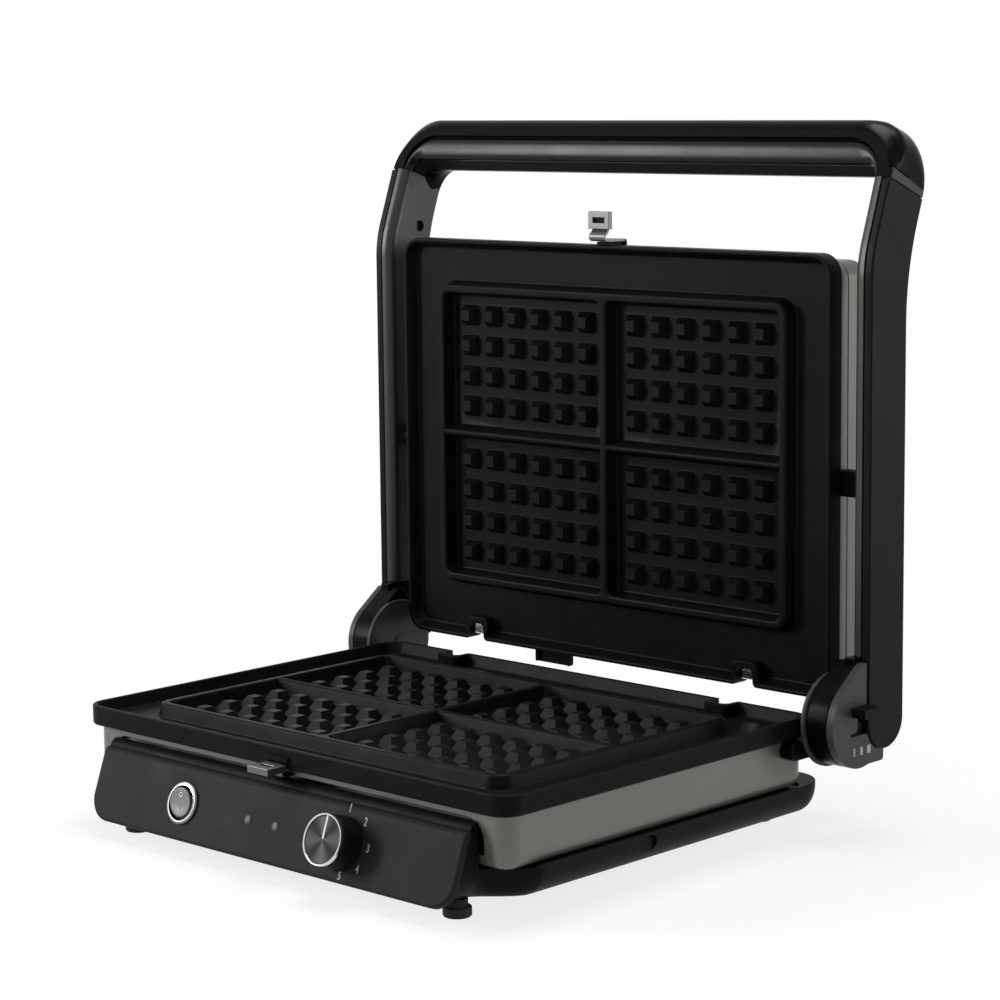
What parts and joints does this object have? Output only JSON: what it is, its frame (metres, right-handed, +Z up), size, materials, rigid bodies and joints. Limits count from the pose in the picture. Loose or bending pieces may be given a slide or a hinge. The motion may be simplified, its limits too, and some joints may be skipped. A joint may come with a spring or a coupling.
{
  "type": "sandwich and waffle maker",
  "caption": "Table-top waffle maker with a hinged upright lid, two studded waffle plates, bent handle, slanted panel with switch and dial, plate latches and thickness selector.",
  "frame": {"origin": "on the floor under the middle of the whole outline, with the lid upright", "axes": "+X to the right along the control panel, +Y to the back, +Z up"},
  "size_m": [0.3556, 0.3136, 0.3559],
  "materials": {
    "matte_black_plastic": "fine matte moulded black",
    "coated_cast_plate": "black non-stick coating on cast aluminium",
    "panel_grey": "soft matte dark grey",
    "olive_grey_paint": "gloss olive grey paint",
    "steel": "plain steel",
    "heater_tube": "dull steel tube",
    "chrome_metal": "bright chrome plate",
    "spun_metal": "spun metal",
    "terminal_plastic": "pale moulded plastic",
    "rubber_black": "matte rubber",
    "gloss_black": "gloss black",
    "cover_grey": "satin dark grey",
    "cap_grey": "satin grey",
    "collar_grey": "satin dark grey",
    "control_black": "satin black",
    "button_grey": "satin grey",
    "lens_grey": "dim grey lens"
  },
  "bodies": {
    "base": {"base_tray": "matte_black_plastic", "control_panel": "panel_grey", "lower_housing": "olive_grey_paint", "lower_reflector": "steel", "lower_heating_element": "heater_tube", "lower_plate": "coated_cast_plate", "lower_hook_right": "chrome_metal", "lower_hook_left": "chrome_metal", "terminal_block": "terminal_plastic", "cord_gland": "rubber_black", "hinge_bracket_right": "gloss_black", "hinge_bracket_left": "gloss_black", "hinge_pin_right": "steel", "hinge_pin_left": "steel", "foot_front_right": "rubber_black", "foot_front_left": "rubber_black", "foot_rear_right": "rubber_black", "foot_rear_left": "rubber_black", "switch_bezel": "chrome_metal", "switch_body": "matte_black_plastic", "power_lens": "lens_grey", "ready_lens": "lens_grey", "thermostat_body": "steel"},
    "rocker": {"rocker_button": "button_grey"},
    "knob": {"knob_body": "control_black", "knob_ring": "chrome_metal", "knob_face": "spun_metal", "knob_shaft": "steel"},
    "base_catch": {"lower_latch": "chrome_metal"},
    "lid_frame": {"hinge_drum_right": "gloss_black", "hinge_drum_left": "gloss_black", "arm_right": "gloss_black", "arm_left": "gloss_black", "arm_cover_right": "cover_grey", "arm_cover_left": "cover_grey", "arm_collar_right": "collar_grey", "arm_collar_left": "collar_grey", "lid_pivot_pin_right": "steel", "lid_pivot_pin_left": "steel", "hinge_cap_right": "cap_grey", "hinge_cap_left": "cap_grey", "handle_front": "gloss_black", "handle_rear": "gloss_black"},
    "selector": {"thickness_selector": "control_black"},
    "lid": {"lid_housing": "olive_grey_paint", "lid_cover": "olive_grey_paint", "upper_reflector": "steel", "upper_heating_element": "heater_tube", "upper_plate": "coated_cast_plate", "upper_hook_left": "chrome_metal", "upper_hook_right": "chrome_metal", "lid_pivot_block_left": "matte_black_plastic", "lid_pivot_block_right": "matte_black_plastic"},
    "lid_catch": {"upper_latch": "chrome_metal"}
  },
  "joints": [
    {"name": "lid_hinge", "type": "hinge", "parent": "base", "child": "lid_frame", "pos_m": [-0.00385, 0.1018, 0.0595], "axis": [1, 0, 0], "range_deg": [0, 90]},
    {"name": "lid_tilt", "type": "hinge", "parent": "lid_frame", "child": "lid", "pos_m": [-0.00385, 0.1213, 0.176], "axis": [-1, 0, 0], "range_deg": [-8, 0]},
    {"name": "switch_rocker", "type": "hinge", "parent": "base", "child": "rocker", "pos_m": [-0.06455, -0.13943, 0.02611], "axis": [-1, 0, 0], "range_deg": [0, 16]},
    {"name": "temperature_dial", "type": "hinge", "parent": "base", "child": "knob", "pos_m": [0.05015, -0.13943, 0.02611], "axis": [0, 0.9403, -0.3404], "range_deg": [0, 160]},
    {"name": "base_catch_slide", "type": "slide", "parent": "base", "child": "base_catch", "axis": [0, -1, 0], "range_m": [0, 0.003], "stiffness_N_per_m": 400, "springref_m": -0.003},
    {"name": "lid_catch_slide", "type": "slide", "parent": "lid", "child": "lid_catch", "axis": [0, 0, 1], "range_m": [0, 0.003], "stiffness_N_per_m": 400, "springref_m": -0.003},
    {"name": "thickness_slide", "type": "slide", "parent": "lid_frame", "child": "selector", "axis": [0, 0, -1], "range_m": [0, 0.0098]}
  ]
}
